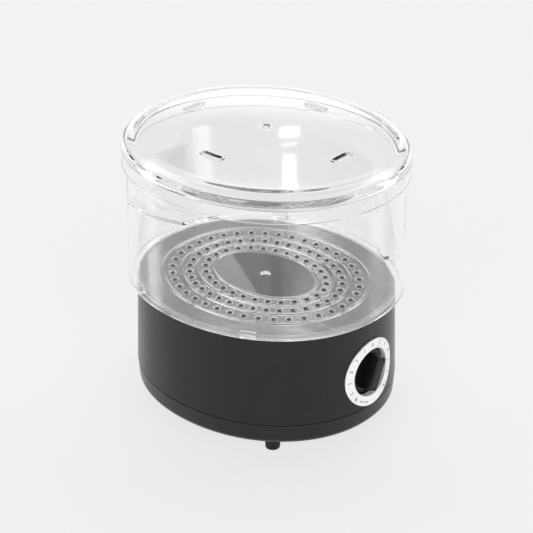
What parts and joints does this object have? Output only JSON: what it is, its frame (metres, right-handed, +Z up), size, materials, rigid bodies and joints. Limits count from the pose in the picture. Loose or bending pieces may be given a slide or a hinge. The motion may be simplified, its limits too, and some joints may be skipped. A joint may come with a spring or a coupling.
{
  "type": "egg cooker",
  "caption": "Oval egg cooker: black base with a ridged heating plate and a timer dial, under a clear steam cover and a clear vented lid.",
  "frame": {"origin": "the centre of the oval on the surface the feet stand on, which is the bottom centre of the bounding box", "axes": "+Z up out of the lid; the timer dial faces -Y along the oval's long axis; the lid's grip tabs point along -X and +X"},
  "size_m": [0.236, 0.2132, 0.2137],
  "materials": {
    "black_plastic": "satin",
    "knob_plastic": "satin",
    "white_plastic": "satin",
    "clear_plastic": "clear polished",
    "plate_metal": "satin",
    "bright_steel": "plain",
    "brass": "plain",
    "rubber": "matt",
    "ceramic": "matt",
    "lead_sleeve": "woven glass sleeve"
  },
  "bodies": {
    "base": {"base_shell": "black_plastic", "base_bottom": "black_plastic", "foot_0": "rubber", "foot_1": "rubber", "foot_2": "rubber", "foot_3": "rubber", "base_screw_0": "bright_steel", "base_screw_1": "bright_steel", "base_screw_2": "bright_steel", "base_screw_3": "bright_steel", "heating_plate": "plate_metal", "plate_rivet": "bright_steel", "heating_element": "bright_steel", "element_clamp": "bright_steel", "clamp_nut": "bright_steel", "thermostat": "ceramic", "thermal_fuse": "brass", "terminal_block": "ceramic", "cable_gland": "rubber", "dial_ring": "white_plastic", "timer_plate": "bright_steel", "timer_housing": "white_plastic", "timer_screw_0": "bright_steel", "timer_screw_1": "bright_steel", "timer_bell": "brass", "lead_timer_in": "lead_sleeve", "lead_timer_out": "lead_sleeve", "lead_element_in": "lead_sleeve", "lead_element_out": "lead_sleeve"},
    "timer_dial": {"knob": "knob_plastic", "timer_shaft": "bright_steel"},
    "steam_cover": {"steam_cover": "clear_plastic"},
    "lid": {"lid": "clear_plastic"}
  },
  "joints": [
    {"name": "timer_turn", "type": "hinge", "parent": "base", "child": "timer_dial", "pos_m": [0, -0.0926, 0.0517], "axis": [0, 1, 0], "range_deg": [0, 300]},
    {"name": "cover_lift", "type": "slide", "parent": "base", "child": "steam_cover", "axis": [0, 0, 1], "range_m": [0, 0.12]},
    {"name": "lid_lift", "type": "slide", "parent": "steam_cover", "child": "lid", "axis": [0, 0, 1], "range_m": [0, 0.08]}
  ]
}
